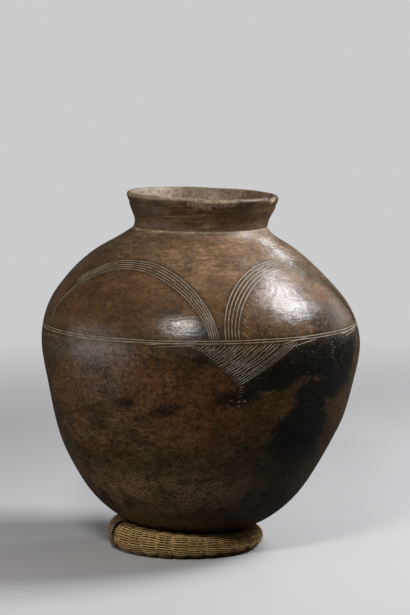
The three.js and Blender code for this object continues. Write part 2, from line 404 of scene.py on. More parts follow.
    def finish(self, colour: NodeSocket, rough: object, normal: NodeSocket, **fixed: float) -> Material:
        """Ends a material's sheet with one shader.

        Args:
            colour: The base colour.
            rough: The roughness.
            normal: The relief.
            **fixed: Sockets of the shader that are the same all over, by name with spaces as underscores.

        Returns:
            The finished material.
        """
        inputs: dict[str | int, object] = {"Base Color": colour, "Roughness": rough, "Normal": normal}
        shader = self.node("ShaderNodeBsdfPrincipled", inputs)
        for key, value in fixed.items():
            shader.inputs[key.replace("_", " ")].default_value = value
        self.close(shader.outputs[0])
        return self.material

    def close(self, shader: NodeSocket, kind: str = "ShaderNodeOutputMaterial") -> None:
        """Links a shader to the sheet's output."""
        self.tree.links.new(shader, self.tree.nodes.new(kind).inputs["Surface"])


def on_round(azimuth: float, height: float, radius: float = 0.22) -> tuple[float, float, float]:
    """Returns a place near the jar's skin, the azimuth in degrees from the front towards the right."""
    turn = math.radians(azimuth)
    return radius * math.sin(turn), -radius * math.cos(turn), height


@dataclass(frozen=True)
class Patch:
    """A soft-edged patch of another colour on the jar.

    The azimuth is in degrees from the front towards the right. The height, the reach across and up, and the
    distance between the bumps of the edge are in metres. Blur and ragged are shares of the reach.
    """

    colour: Colour
    strength: float
    azimuth: float
    height: float
    across: float
    up: float
    blur: float
    ragged: float
    bumps: float = 0.03


@dataclass(frozen=True)
class ClayFinish:
    """Earthenware smoothed while damp and fired in the open, with clouds from the flames."""

    dark: Colour = (0.038, 0.024, 0.0100)
    brown: Colour = (0.082, 0.046, 0.0190)
    warm: Colour = (0.150, 0.078, 0.0300)
    tan: Colour = (0.320, 0.204, 0.1180)
    # Grey: on the left belly a painted sheen, the reflection of a pale panel; also one grey patch at the
    # back.
    grey: Colour = (0.150, 0.110, 0.0900)
    orange: Colour = (0.102, 0.053, 0.0155)
    red: Colour = (0.150, 0.058, 0.0230)
    soot: Colour = (0.0055, 0.0050, 0.0030)
    olive: Colour = (0.098, 0.073, 0.0330)
    dust: Colour = (0.400, 0.295, 0.1900)
    # Pale clay in the cut marks; on the dots it also stands in for their highlights.
    scratch: Colour = (0.450, 0.362, 0.2620)
    lining: Colour = (0.400, 0.305, 0.2150)
    neck_foot: tuple[float, float] = (0.460, 0.468)
    cord_radius: float = 0.17
    cord_pitch: float = 0.0040
    row_pitch: float = 0.0030
    chips: tuple[tuple[float, float, float], ...] = (
        (-3, 0.011, 0.0055), (5, 0.011, 0.0085), (16, 0.014, 0.0060), (25, 0.009, 0.0045),
        (67, 0.011, 0.0070))

    def material(self) -> Material:
        """Returns the clay's material, which is paler in the cut marks and has painted shade beside them."""
        sheet = Sheet("fired_clay")
        height = sheet.node("ShaderNodeSeparateXYZ", {0: sheet.place}).outputs[2]
        depth, near, inside = (sheet.noted(name) for name in ("cut_depth", "mark_near", "inside"))
        body = self.wiped(sheet, self.fired(sheet, height), height)
        body = self.fire_marks(sheet, body)
        stains = sheet.grain(0.020, 6, 0.74, sheet.moved((1, 1, 2.2)), 0.8)
        body = sheet.mix(sheet.between(stains, 0.52, 0.78, (0, 0.30)), body, self.olive)
        body = self.collar(sheet, body, height)
        body = self.specked(sheet, body, height)
        body = self.rolled_band(sheet, body, height)
        # Painted shade: the clay is darkened near each mark, standing in for the shadow beside the grooves.
        body = sheet.mix(sheet.times(near, 0.74), body, self.dark)
        worn = sheet.between(sheet.grain(0.018, 5, 0.7, None, 0.4), 0.36, 0.60)
        cut = sheet.times(sheet.between(depth, 0.08, 0.45), sheet.between(worn, 0, 1, (0.50, 1.0)))
        at_belt = sheet.between(height, 0.311, 0.327, (0.29, 1.0))
        # Painted highlight: the dots take the pale mark colour almost fully, standing in for light on their
        # pressed faces.
        painted_dot_highlight = sheet.between(height, 0.2545, 0.2525, (0.0, 0.95))
        body = sheet.mix(sheet.times(cut, sheet.sum("MAXIMUM", at_belt, painted_dot_highlight)), body, self.scratch)
        body = sheet.mix(inside, body, self.dusty(sheet, height))
        bare = sheet.between(height, 0.485, 0.497, (1.0, 0.55))
        dull = sheet.sum("MAXIMUM", cut, sheet.times(inside, bare))
        return sheet.finish(body, self.roughness(sheet, height, dull), self.relief(sheet, height),
                            Specular_IOR_Level=0.45)

    def fired(self, sheet: Sheet, height: NodeSocket) -> NodeSocket:
        """Returns the mottled body colour, rubbed paler on the shoulder and a little darker low down."""
        clouds = sheet.grain(0.075, 7, 0.66, sheet.moved((1, 1, 1.5)), 0.7)
        stops = [(0.30, self.dark), (0.46, self.brown), (0.60, self.warm), (0.76, self.tan)]
        body = sheet.ramp(clouds, stops)
        rubbed = sheet.spot(on_round(22, 0.435, 0.15), 0.175, 0.100, 0.55, 0.20, 0.03)
        shoulder = sheet.between(height, 0.335, 0.42)
        body = sheet.mix(sheet.times(shoulder, sheet.between(rubbed, 0, 1, (0.24, 0.55))), body, self.tan)
        return sheet.mix(sheet.between(height, 0.270, 0.15, (0, 0.14)), body, self.dark)

    def dusty(self, sheet: Sheet, height: NodeSocket) -> NodeSocket:
        """Returns the colour of the inside, which is pale with dust near the lip."""
        plain = sheet.mix(sheet.between(height, 0.40, 0.50), self.brown, self.lining)
        spots = sheet.between(sheet.grain(0.0045, 6, 0.76, None, 0.5), 0.40, 0.64, (0.0, 0.82))
        stains = sheet.between(sheet.grain(0.040, 3, 0.6), 0.45, 0.62, (0, 0.40))
        return sheet.mix(stains, sheet.mix(spots, plain, self.brown), self.brown)

    def fire_marks(self, sheet: Sheet, body: NodeSocket) -> NodeSocket:
        """Returns the body colour with the clouds, flame marks and rubbed patches of this jar, and a painted
        sheen on the left belly.
        """
        marks = [
            Patch(self.warm, 0.45, -58, 0.375, 0.120, 0.060, 0.60, 0.30),
            Patch(self.red, 0.34, -40, 0.390, 0.110, 0.050, 0.60, 0.30),
            Patch(self.dark, 0.18, -44, 0.385, 0.130, 0.056, 0.60, 0.30),
            Patch(self.warm, 0.34, -22, 0.385, 0.070, 0.035, 0.60, 0.30),
            Patch(self.tan, 0.18, 4, 0.405, 0.075, 0.028, 0.60, 0.30),
            Patch(self.warm, 0.68, 14, 0.374, 0.062, 0.032, 0.60, 0.30),
            Patch(self.dark, 0.50, -50, 0.420, 0.070, 0.024, 0.60, 0.40),
            Patch(self.dark, 0.45, -22, 0.440, 0.030, 0.010, 0.60, 0.50, 0.015),
            # Painted sheen: this grey patch stands in for the reflection of a pale panel on the left belly.
            Patch(self.grey, 0.48, -37, 0.294, 0.062, 0.052, 0.34, 0.22),
            Patch(self.red, 0.60, -19, 0.262, 0.038, 0.034, 0.50, 0.30, 0.015),
            Patch(self.warm, 0.60, -62, 0.262, 0.060, 0.050, 0.50, 0.30),
            Patch(self.red, 0.50, 2, 0.225, 0.062, 0.058, 0.60, 0.25),
            Patch(self.red, 0.40, 8, 0.282, 0.035, 0.018, 0.60, 0.30, 0.015),
            Patch(self.soot, 0.96, 46, 0.300, 0.108, 0.030, 0.16, 0.30),
            Patch(self.soot, 0.95, 60, 0.266, 0.060, 0.034, 0.18, 0.36),
            Patch(self.soot, 0.96, 42, 0.188, 0.056, 0.054, 0.17, 0.42),
            Patch(self.soot, 0.94, 48, 0.144, 0.050, 0.042, 0.25, 0.45),
            Patch(self.soot, 0.95, 44, 0.238, 0.034, 0.034, 0.18, 0.40),
            Patch(self.soot, 0.92, 25, 0.270, 0.044, 0.016, 0.22, 0.36, 0.015),
            Patch(self.soot, 0.90, 15, 0.249, 0.036, 0.012, 0.28, 0.42, 0.015),
            Patch(self.dark, 0.36, 30, 0.132, 0.070, 0.018, 0.50, 0.40),
            # A darker patch over the left of the first hatched triangle.
            Patch(self.dark, 0.55, -4, 0.303, 0.046, 0.020, 0.40, 0.30, 0.02),
            Patch(self.olive, 0.80, 8, 0.118, 0.170, 0.050, 0.60, 0.35),
            Patch(self.olive, 0.70, 34, 0.104, 0.080, 0.030, 0.60, 0.40),
            Patch(self.dark, 0.26, 14, 0.215, 0.080, 0.042, 0.60, 0.35),
            Patch(self.orange, 0.90, 29, 0.237, 0.034, 0.016, 0.20, 0.36, 0.015),
            Patch(self.orange, 0.80, 23, 0.222, 0.034, 0.017, 0.35, 0.30, 0.015),
            Patch(self.orange, 0.55, 25, 0.192, 0.020, 0.018, 0.40, 0.35),
            Patch(self.orange, 0.72, 66, 0.200, 0.032, 0.046, 0.16, 0.26),
            Patch(self.olive, 0.60, 77, 0.258, 0.030, 0.030, 0.50, 0.30),
            Patch(self.soot, 0.76, -28, 0.239, 0.019, 0.0070, 0.55, 0.50, 0.015),
            Patch(self.soot, 0.74, -11, 0.234, 0.018, 0.0070, 0.50, 0.50, 0.015),
            Patch(self.soot, 0.70, -16, 0.226, 0.019, 0.0055, 0.50, 0.50, 0.015),
            Patch(self.soot, 0.62, -21, 0.217, 0.016, 0.0046, 0.55, 0.50, 0.015),
            Patch(self.soot, 0.70, -16, 0.305, 0.009, 0.0080, 0.50, 0.60, 0.015),
            Patch(self.soot, 0.60, -16, 0.290, 0.006, 0.0040, 0.50, 0.60, 0.015),
            # A black patch along the left edge of the first hatched triangle.
            Patch(self.soot, 0.80, 2, 0.304, 0.022, 0.0075, 0.50, 0.40, 0.015),
            Patch(self.soot, 0.75, 1, 0.339, 0.030, 0.0095, 0.55, 0.25, 0.015),
            Patch(self.soot, 0.60, -12, 0.366, 0.018, 0.0060, 0.60, 0.50, 0.015),
            Patch(self.soot, 0.55, 53, 0.352, 0.040, 0.0190, 0.60, 0.35, 0.015),
            Patch(self.red, 0.45, 58, 0.378, 0.034, 0.0140, 0.60, 0.35, 0.015),
            Patch(self.soot, 0.80, 168, 0.250, 0.110, 0.060, 0.35, 0.22),
            Patch(self.orange, 0.50, 150, 0.215, 0.040, 0.030, 0.50, 0.30),
            Patch(self.grey, 0.50, -128, 0.240, 0.090, 0.050, 0.50, 0.30),
            Patch(self.red, 0.45, -160, 0.290, 0.060, 0.040, 0.50, 0.30),
        ]
        for mark in marks:
            where = on_round(mark.azimuth, mark.height)
            patch = sheet.spot(where, mark.across, mark.up, mark.blur, mark.ragged, mark.bumps)
            body = sheet.mix(sheet.times(patch, mark.strength), body, mark.colour)
        return body

    def wiped(self, sheet: Sheet, body: NodeSocket, height: NodeSocket) -> NodeSocket:
        """Returns the body colour with the level streaks that the wet hand left, strongest low down."""
        streaks = sheet.between(sheet.grain(0.045, 6, 0.70, sheet.moved((1, 1, 8)), 0.3), 0.45, 0.60)
        share = sheet.times(streaks, sheet.between(height, 0.25, 0.16, (0.06, 0.92)))
        fine = sheet.grain(0.026, 5, 0.7, sheet.moved((1, 1, 7), (0.3, 0, 0)), 0.8)
        return sheet.shaded(sheet.mix(share, body, self.olive), sheet.between(fine, 0.34, 0.66, (0.70, 1.22)))

    def neck_streaks(self, sheet: Sheet) -> NodeSocket:
        """Returns the level streaks of the neck, around 0.5."""
        return sheet.grain(0.05, 6, 0.7, sheet.moved((1, 1, 10)), 0.3)

    def collar(self, sheet: Sheet, body: NodeSocket, height: NodeSocket) -> NodeSocket:
        """Returns the body colour with the streaked neck, the pale crease under it and the worn lip."""
        neck = sheet.between(height, *self.neck_foot)
        stops = [(0.28, self.dark), (0.49, self.brown), (0.73, self.tan)]
        streaked = sheet.ramp(self.neck_streaks(sheet), stops)
        body = sheet.mix(sheet.times(neck, 0.80), body, streaked)
        crease = sheet.times(sheet.between(height, 0.4615, 0.4635), sheet.between(height, 0.4660, 0.4645),
                             sheet.between(sheet.grain(0.02, 4, 0.6), 0.35, 0.6, (0.40, 0.90)))
        body = sheet.mix(crease, body, self.dust)
        rubbed = sheet.spot(on_round(50, 0.482, 0.10), 0.060, 0.020, 0.50, 0.25, 0.03)
        body = sheet.mix(sheet.times(rubbed, 0.32), body, self.tan)
        # The neck is painted darker, unevenly, in a band just under the lip.
        patchy = sheet.between(sheet.grain(0.035, 4, 0.6, sheet.moved((1, 1, 2))), 0.42, 0.60)
        under_lip = sheet.times(sheet.between(height, 0.480, 0.496), sheet.between(height, 0.5085, 0.5060))
        body = sheet.mix(sheet.times(under_lip, patchy, 0.65), body, self.dark)
        body = sheet.mix(sheet.times(sheet.between(height, 0.5085, 0.5115), 0.85), body, self.dust)
        rough = sheet.between(sheet.grain(0.0032, 4, 0.75), 0.38, 0.60, (0.10, 1.0))
        for azimuth, across, up in self.chips:
            worn = sheet.spot(on_round(azimuth, 0.505, 0.108), across, up, 0.22, 0.45, 0.006)
            body = sheet.mix(sheet.times(worn, rough), body, self.dust)
        return body

    def specked(self, sheet: Sheet, body: NodeSocket, height: NodeSocket) -> NodeSocket:
        """Returns the body colour with mottling, dark pits, pale flecks of grit and fine scratches."""
        mottle = sheet.between(sheet.grain(0.0055, 6, 0.76, None, 0.6), 0.36, 0.64, (-1.0, 1.0))
        mottle = sheet.sum("MULTIPLY_ADD", mottle, sheet.between(height, 0.345, 0.31, (0.30, 0.50)), 1.0)
        cloudy = sheet.grain(0.030, 5, 0.66, sheet.moved((1, 1, 1.7), (0.2, 0.2, 0)), 0.5)
        body = sheet.shaded(sheet.shaded(body, mottle), sheet.between(cloudy, 0.36, 0.64, (0.76, 1.20)))
        low = sheet.between(height, 0.345, 0.32, (0.30, 1.0))
        most = sheet.times(low, sheet.between(height, 0.14, 0.18, (0.40, 1.0)))
        thick = sheet.between(sheet.grain(0.028, 4, 0.6), 0.42, 0.56)
        pits = sheet.times(sheet.between(sheet.cells(0.0072), 0.28, 0.14), sheet.times(thick, most), 0.88)
        body = sheet.mix(pits, body, self.soot)
        some = sheet.between(sheet.grain(0.020, 3, 0.6, sheet.moved((1, 1, 1), (0.4, 0.1, 0))), 0.50, 0.60)
        flecks = sheet.between(sheet.cells(0.0085, sheet.moved((1, 1, 1), (0.2, 0.5, 0.1))), 0.17, 0.07)
        body = sheet.mix(sheet.times(flecks, sheet.times(some, low), 0.42), body, self.dust)
        few = sheet.between(sheet.grain(0.040, 3, 0.6, sheet.moved((1, 1, 1), (0.1, 0.7, 0))), 0.52, 0.62)
        hairs = sheet.times(self.hairlines(sheet), sheet.times(few, low), 0.20)
        return sheet.mix(hairs, body, self.dust)

    def hairlines(self, sheet: Sheet) -> NodeSocket:
        """Returns thin wandering scratches: 1 on a scratch, 0 beside it."""
        far = sheet.sum("ABSOLUTE", sheet.sum("SUBTRACT", sheet.grain(0.032, 4, 0.55, None, 1.4), 0.5))
        return sheet.between(far, 0.013, 0.005)

    def rolled_band(self, sheet: Sheet, body: NodeSocket, height: NodeSocket) -> NodeSocket:
        """Returns the body colour with the pale worn band low on the jar."""
        band = sheet.times(sheet.between(height, 0.050, 0.078), sheet.between(height, 0.150, 0.116))
        left = sheet.spot(on_round(-14, 0.100, 0.16), 0.130, 0.060, 0.50, 0.25, 0.03)
        band = sheet.times(band, sheet.between(left, 0, 1, (0.45, 1.0)))
        worn = sheet.between(sheet.grain(0.024, 5, 0.7), 0.36, 0.60)
        raised = sheet.between(self.pressed(sheet, height), 0.32, 0.52)
        return sheet.mix(sheet.times(band, worn, sheet.between(raised, 0, 1, (0.12, 1.0))), body, self.tan)

    def pressed(self, sheet: Sheet, height: NodeSocket) -> NodeSocket:
        """Returns the pattern of a twisted cord rolled into the clay: 0 in its small pits, 1 between them."""
        axes = sheet.node("ShaderNodeSeparateXYZ", {0: sheet.place}).outputs
        sway = sheet.times(sheet.grain(0.05, 3, 0.6), 5.0)
        around = sheet.times(sheet.sum("ARCTAN2", axes[1], axes[0]), self.cord_radius / self.cord_pitch)
        rows = sheet.sum("ADD", sheet.times(height, 1 / self.row_pitch), sway)
        unrolled = sheet.node("ShaderNodeCombineXYZ", {0: around, 1: rows}).outputs[0]
        return sheet.cells(1.0, unrolled, 0.62)

    def roughness(self, sheet: Sheet, height: NodeSocket, dull: NodeSocket) -> NodeSocket:
        """Returns how dull the clay is: rubbed smooth on the shoulder, dull low down and in the marks."""
        by_height = sheet.sum("ADD", sheet.between(height, 0.31, 0.17, (0.27, 0.36)),
                              sheet.between(height, 0.440, 0.466, (0, 0.20)))
        uneven = sheet.grain(0.022, 6, 0.72, sheet.moved((1, 1, 1.6)), 0.6)
        varied = sheet.sum("MULTIPLY_ADD", uneven, 0.30, -0.15)
        return sheet.sum("MAXIMUM", sheet.sum("ADD", by_height, varied), sheet.times(dull, 0.8))

    def relief(self, sheet: Sheet, height: NodeSocket) -> NodeSocket:
        """Returns the relief: dents, scraping, the rolled pattern, the neck's ribs, scratches and grit."""
        normal = sheet.bumps(sheet.grain(0.034, 2, 0.5), 0.0012)
        normal = sheet.bumps(sheet.grain(0.030, 4, 0.55, sheet.moved((1, 1, 4)), 0.5), 0.0005, normal)
        band = sheet.times(sheet.between(height, 0.050, 0.075), sheet.between(height, 0.155, 0.118))
        rolled = sheet.times(sheet.between(self.pressed(sheet, height), 0.15, 0.55), band)
        normal = sheet.bumps(rolled, 0.0007, normal)
        ribs = sheet.times(self.neck_streaks(sheet), sheet.between(height, *self.neck_foot))
        normal = sheet.bumps(ribs, 0.0008, normal)
        normal = sheet.bumps(sheet.sum("SUBTRACT", 1.0, self.hairlines(sheet)), 0.00012, normal)
        fine = sheet.times(sheet.grain(0.0024, 4, 0.7), sheet.between(height, 0.365, 0.25, (0.30, 1.0)))
        return sheet.bumps(fine, 0.00034, normal)


@dataclass(frozen=True)
class Arch:
    """An arch of comb lines, in degrees round the jar and metres up, with what each tooth adds."""

    centre: float
    span: float
    span_step: float
    rise: float
    rise_step: float


@dataclass
class Jar:
    """The hand-built jar: one fired wall with a rounded lip, and the marks drawn into it."""

    base: float = 0.019
    belly: tuple[float, float] = (0.229, 0.300)
    throat: tuple[float, float] = (0.096, 0.464)
    rim: tuple[float, float] = (0.109, 0.507)
    wall: float = 0.009
    sides: int = 232
    spacing: float = 0.0052
    lip_steps: int = 8
    lean_most: float = 0.0075
    rim_drop: float = 0.007
    dent: float = 0.0008
    ridge: float = 0.0009
    mark_radius: float = 0.00132
    mark_lift: float = 0.0004
    taper_reach: float = 0.009
    # How far the painted shade beside the marks reaches, in metres.
    near: float = 0.0055
    belt: tuple[float, float] = (0.3285, 0.3251)
    arches: tuple[Arch, ...] = (
        Arch(-33.5, 37.2, 0.75, 0.089, 0.00258), Arch(46.8, 32.7, 1.2, 0.086, 0.00275),
        Arch(136.5, 42.5, 1.06, 0.087, 0.00270), Arch(235.1, 42.5, 1.06, 0.088, 0.00270))
    comb_teeth: int = 5
    triangles: tuple[float, ...] = (13.4, 94.0, 190.0, -70.5)
    hatch_left: tuple[tuple[float, float], ...] = (
        (0.3, 254), (0, 264.8), (-2.2, 273.6), (-6.8, 292), (-10.8, 304.7), (-13, 312.8), (-18.5, 321.5),
        (-30.5, 323.0))
    hatch_right: tuple[tuple[float, float], ...] = (
        (0.9, 254), (1.4, 269.5), (1.9, 280), (3.7, 291), (6.6, 298.7), (11, 311.5), (15, 319.5),
        (24.8, 323.0))
    hatch_span: tuple[float, float] = (254, 323)
    hatch_middle: float = 292
    hatch_pitch: float = 3.55
    hatch_slope: float = 31
    dot_places: tuple[tuple[float, float], ...] = (
        (0.3, 251.9), (-2.6, 246.2), (0.2, 244.4), (2.3, 244.8), (0.2, 237.7))
    dot_radius: float = 0.0021
    tails: tuple[tuple[tuple[float, float], tuple[float, float]], ...] = (
        ((-33, 322.4), (-14, 326.6)), ((-30, 319.2), (-15, 322.6)), ((15.5, 319.6), (28, 326.6)),
        ((18.5, 315.0), (32, 322.6)))
    lean_places: tuple[float, ...] = (0, 0.18, 0.3, 0.4, 0.54, 0.64, 0.75, 0.82, 0.89, 0.93, 1)
    lean_shares: tuple[float, ...] = (-0.8, -0.87, -0.67, -0.08, 0.19, -0.05, -0.76, -1, -0.6, 0.29, 0.47)
    lower: tuple[tuple[float, float], ...] = (
        (0, 0), (0.25, 0.025), (0.46, 0.09), (0.64, 0.21), (0.78, 0.38), (0.895, 0.58), (0.96, 0.79))
    upper: tuple[tuple[float, float], ...] = (
        (1, 0), (0.912, 0.305), (0.686, 0.56), (0.404, 0.775), (0.119, 0.92), (0, 1))
    neck: tuple[tuple[float, float], ...] = ((0, 0), (0.1, 0.28), (0.56, 0.6), (0.86, 0.86), (1, 1))

    def __post_init__(self) -> None:
        """Draws the outline that every other method reads."""
        self.outline, self.outward = self.outer_outline()
        self.marked: list[Points] = []

    def outer_outline(self) -> tuple[Points, Points]:
        """Draws the outside from the middle of the underside to the rim.

        Returns:
            Radius and height of each point, and the outward direction there.
        """
        (wide, middle), (narrow, throat), (mouth, top) = self.belly, self.throat, self.rim
        low = self.knots(self.lower, (0, self.base), (wide, middle))
        high = self.knots(self.upper, (narrow, middle), (wide, throat))
        collar = self.knots(self.neck, (narrow, throat), (mouth, top))
        body = evenly(smooth_line(np.vstack([low, high]), 900), self.spacing)
        rows = np.vstack([body, evenly(smooth_line(collar, 300), 0.6 * self.spacing)[1:]])
        ways = np.gradient(rows, axis=0)
        ways /= np.linalg.norm(ways, axis=1)[:, None]
        return rows, np.stack([ways[:, 1], -ways[:, 0]], -1)

    def knots(self, shares: Sequence[Sequence[float]], start: Sequence[float],
              end: Sequence[float]) -> Points:
        """Returns the knots at shares of the way from one radius and height to another."""
        return np.array(start) + (np.array(end) - start) * shares

    def lean(self, height: Points) -> Points:
        """Returns how far the wall leans to the right at some heights."""
        knots = np.array([self.lean_places, self.lean_shares]).T
        line = smooth_line(knots, 600)
        return self.lean_most * np.interp(height / self.rim[1], line[:, 0], line[:, 1])

    def hand_built(self, rows: Points) -> Points:
        """Moves points of the turned jar to where the potter's hand left them.

        Args:
            rows: Places on the turned jar.

        Returns:
            The leaning, slightly uneven places.
        """
        moved = rows.copy()
        height = rows[:, 2]
        radius = np.maximum(np.hypot(rows[:, 0], rows[:, 1]), 1e-9)
        uneven = np.array([0.7 * waver(row, 0.12) + 0.3 * waver(row, 0.04, 5.0) for row in rows])
        inwards = self.dent * (uneven - 0.8) * np.clip(radius / 0.05, 0, 1)
        skin = np.interp(height, self.outline[:, 1], self.outline[:, 0]) - radius < 0.3 * self.wall
        inwards += skin * self.ridge * (np.exp(-((height - self.throat[1] - 0.001) / 0.0022) ** 2)
                                        - np.exp(-((height - self.rim[1] + 0.0075) / 0.0026) ** 2))
        moved[:, 0] += rows[:, 0] / radius * inwards + self.lean(height)
        moved[:, 1] += rows[:, 1] / radius * inwards
        share = np.clip((height - self.throat[1]) / (self.rim[1] - self.throat[1]), 0, 1)
        share = share * share * (3 - 2 * share)
        moved[:, 2] -= self.rim_drop * share * rows[:, 0] / self.rim[0] / 2 + self.worn_lip(rows, share)
        return moved

    def worn_lip(self, rows: Points, share: Points) -> Points:
        """Returns how much lower the lip is where it is uneven, worn and chipped."""
        azimuth = np.degrees(np.arctan2(rows[:, 0], -rows[:, 1]))
        wave = np.array([0.0006 * (1 + waver((math.cos(a), math.sin(a), 0.3), 0.35))
                         for a in np.radians(azimuth)])
        worn = 0.0022 * np.clip(1 - ((azimuth - 10.5) / 17) ** 2, 0, 1)
        chip = 0.0030 * np.clip(1 - ((azimuth - 67) / 6.5) ** 2, 0, 1)
        edge = np.clip((rows[:, 2] - self.rim[1] + 0.004) / 0.006, 0, 1)
        rough = np.array([0.4 + 0.6 * waver(row, 0.006, 2.0) for row in rows])
        return share * wave + edge * (worn * (0.7 + 0.5 * rough) + chip * (0.8 + 0.4 * rough))

    def build(self) -> Object:
        """Spins the wall, cuts the marks and notes how deep each vertex lies in a mark and how much painted
        shade it gets beside the marks.

        Returns:
            The jar.
        """
        inner = (self.outline - self.wall * self.outward)[::2]
        inner[0] = (0, self.base + self.wall)
        rim, out = self.outline[-1], self.outward[-1]
        turns = np.linspace(0, math.pi, self.lip_steps + 1)[1:-1, None]
        up = np.array([-out[1], out[0]])
        lip = rim - out * self.wall / 2 + self.wall / 2 * (np.cos(turns) * out + np.sin(turns) * up)
        section = np.vstack([self.outline, lip, rim - out * self.wall, inner[:-1][::-1]])
        jar = drawn_line("jar", [Vector((x, 0, z)) for x, z in section])
        pick(jar)
        bpy.ops.object.mode_set(mode="EDIT")
        bpy.ops.mesh.select_all(action="SELECT")
        bpy.ops.mesh.spin(steps=self.sides, angle=2 * math.pi, center=(0, 0, 0), axis=(0, 0, 1))
        bpy.ops.object.mode_set(mode="OBJECT")
        close_up(jar, 0.00002)
        move_vertices(jar, self.hand_built)
        skin = BVHTree.FromObject(jar, bpy.context.evaluated_depsgraph_get())
        for cut in Cut:
            carve(jar, self.cutter(cut))
        drawn = np.vstack(self.marked)
        tree = KDTree(len(drawn))
        for number, place in enumerate(drawn):
            tree.insert(place, number)
        tree.balance()
        rows = places_of(jar)
        depth = [1000 * skin.find_nearest(row)[3] for row in rows]
        # Painted shade beside the marks: full close to a mark, none beyond the near distance.
        near = [min(max((self.near - tree.find(row)[2]) / self.near * 1.6, 0.0), 1.0) for row in rows]
        gap = np.interp(rows[:, 2], self.outline[:, 1], self.outline[:, 0])
        gap -= np.hypot(rows[:, 0] - self.lean(rows[:, 2]), rows[:, 1])
        inside = np.clip((gap - 0.5 * self.wall) / (0.3 * self.wall), 0, 1)
        note(jar, cut_depth=depth, mark_near=near, inside=inside)
        return jar

    def on_wall(self, azimuth: Points, height: Points, lift: Points | float) -> Points:
        """Returns places just outside the jar's skin.

        Args:
            azimuth: Degrees from the front towards the right.
            height: Heights on the turned jar, in metres.
            lift: How far outside the skin.

        Returns:
            The places, one row each.
        """
        radius, out, up = (np.interp(height, self.outline[:, 1], line)
                           for line in (self.outline[:, 0], self.outward[:, 0], self.outward[:, 1]))
        turn = np.radians(azimuth)
        reach = radius + lift * out
        turned = np.stack([reach * np.sin(turn), -reach * np.cos(turn), height + lift * up], -1)
        return self.hand_built(turned)

    def cutter(self, cut: Cut) -> Object:
        """Returns the closed shapes that take away one kind of mark."""
        if cut is Cut.DOTS:
            return self.dots()
        lines, press_share = {
            Cut.COMB: (self.comb_lines(), 0.82),
            Cut.BELT: (self.belt_lines(), 0.76),
            Cut.HATCH: (self.hatching(0), 0.95),
            Cut.HATCH_MIDDLE: (self.hatching(1), 0.92),
            Cut.TAILS: (self.tail_strokes(), 0.72),
        }[cut]
        paths, radii = [], []
        for number, line in enumerate(lines):
            flat = np.stack([np.radians(line[:, 0]) * self.belly[0], line[:, 1]], -1)
            even = evenly(flat, 0.003)
            run = np.concatenate([[0], np.cumsum(np.linalg.norm(np.diff(even, axis=0), axis=1))])
            ends = np.minimum(run, run[-1] - run)
            taper = np.sqrt(np.clip(ends / self.taper_reach, 0.06, 1))
            press = np.array([1 + 0.20 * waver((far, 0.1 * number, 0), 0.02, 3.0) for far in run])
            azimuth = np.degrees(even[:, 0] / self.belly[0])
            paths.append(self.on_wall(azimuth, even[:, 1], self.mark_lift * taper))
            radii.append(self.mark_radius * taper * press * press_share)
            self.marked.append(paths[-1])
        return tube(cut.value, paths, radii, 6)

    def comb_lines(self) -> list[Points]:
        """Draws the arches above the belt, each with the teeth of one comb.

        Returns:
            Azimuths in degrees and heights of each line.
        """
        lines = []
        for number, arch in enumerate(self.arches):
            for tooth in range(self.comb_teeth):
                start = 0.66 if number == 0 and tooth > 1 else 0.0
                turn = np.linspace(start, math.pi, 160)
                power = 2 / (2.05 + 0.06 * tooth)
                across = -np.sign(np.cos(turn)) * np.abs(np.cos(turn)) ** power
                azimuth = arch.centre + (arch.span + arch.span_step * tooth) * across
                height = self.belt[0] + (arch.rise + arch.rise_step * tooth) * np.abs(np.sin(turn)) ** power
                sway = [waver((0.01 * a, 0, number), 0.12, 7.0) for a in azimuth]
                lines.append(np.stack([azimuth, height + 0.0007 * np.array(sway)], -1))
        return lines

    def belt_lines(self) -> list[Points]:
        """Draws the two lines round the widest part, which start and end at the back."""
        azimuth = np.linspace(-173.5, 183.5, 500)
        lines = []
        for number, height in enumerate(self.belt):
            sway = np.array([waver((0.01 * a, number, 0), 0.15, 4.0) for a in azimuth])
            lines.append(np.stack([azimuth, height + 0.0005 * sway], -1))
        return lines

    def hatching(self, part: int) -> list[Points]:
        """Draws the hatched triangles that hang from the belt between the arches, in degrees and millimetres.

        Args:
            part: 1 for the middle stroke of each row, 0 for the strokes on either side of it.

        Returns:
            Azimuths in degrees and heights in metres of each stroke.
        """
        left, right = np.array(self.hatch_left), np.array(self.hatch_right)
        degree = math.radians(1) * 228
        along = np.arange(-150.0, 150.0, 1.0)
        strokes = []
        for number, centre in enumerate(self.triangles):
            for row in range(-30, 34):
                offset = self.hatch_pitch * row + 0.5 * waver((row, number, 0), 1.7)
                slope = math.radians(self.hatch_slope + 2.0 * waver((0.3 * row, number, 2), 1.3))
                across = along * math.cos(slope) - offset * math.sin(slope)
                height = self.hatch_middle + along * math.sin(slope) + offset * math.cos(slope)
                low, high = (np.interp(height, edge[:, 1], edge[:, 0]) * degree for edge in (left, right))
                inside = np.flatnonzero((across >= low) & (across <= high)
                                        & (height > self.hatch_span[0]) & (height < self.hatch_span[1]))
                uneven = 0.24 * waver((5.37 * row, number + 0.4, 5.2), 1.0)
                for side, piece in enumerate(self.broken(inside, uneven)):
                    if side % 2 != part or len(piece) < 4:
                        continue
                    shift = (0, 1.7, 0.3)[side] + min(side, 1) * 0.4 * waver((1.3 * row, number, 8), 1.2)
                    bow = np.sin(np.linspace(0, math.pi, len(piece))) * 1.3 * waver((0.8 * row, side, 3), 0.9)
                    bow += np.array([0.55 * waver((0.1 * far, row, side), 0.9) for far in across[piece]])
                    up = (height[piece] - shift + bow) / 1000
                    strokes.append(np.stack([centre + across[piece] / degree, up], -1))
        return strokes

